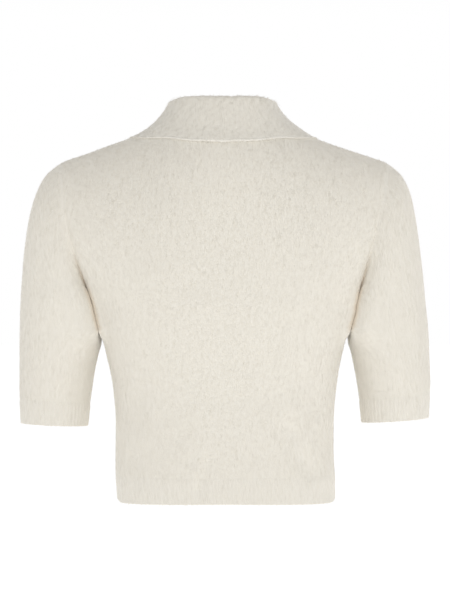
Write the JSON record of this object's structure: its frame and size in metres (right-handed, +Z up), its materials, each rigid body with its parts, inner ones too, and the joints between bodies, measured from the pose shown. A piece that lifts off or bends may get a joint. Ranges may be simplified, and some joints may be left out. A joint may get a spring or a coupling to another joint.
{
  "type": "cropped knit sweater",
  "caption": "Cropped short-sleeved knit sweater with a fold-over collar, open V neck and ribbed hem and cuffs, hollow and filled out as if worn.",
  "frame": {"origin": "midway between the high shoulder points of the neckline, where the wearer's shoulders hold the garment up", "axes": "+Z up along the wearer, -Y to the wearer's front, +X to the wearer's left"},
  "size_m": [0.4958, 0.219, 0.481],
  "materials": {
    "knit": "brushed, fuzzy cream yarn, fine plain knit",
    "rib": "brushed cream yarn in narrow vertical ribs"
  },
  "bodies": {
    "root": {"back": "knit", "front": "knit", "sleeve_left": "knit", "sleeve_right": "knit", "collar": "knit", "hem_rib_back": "rib", "hem_rib_front": "rib", "cuff_left": "rib", "cuff_right": "rib"}
  },
  "joints": []
}
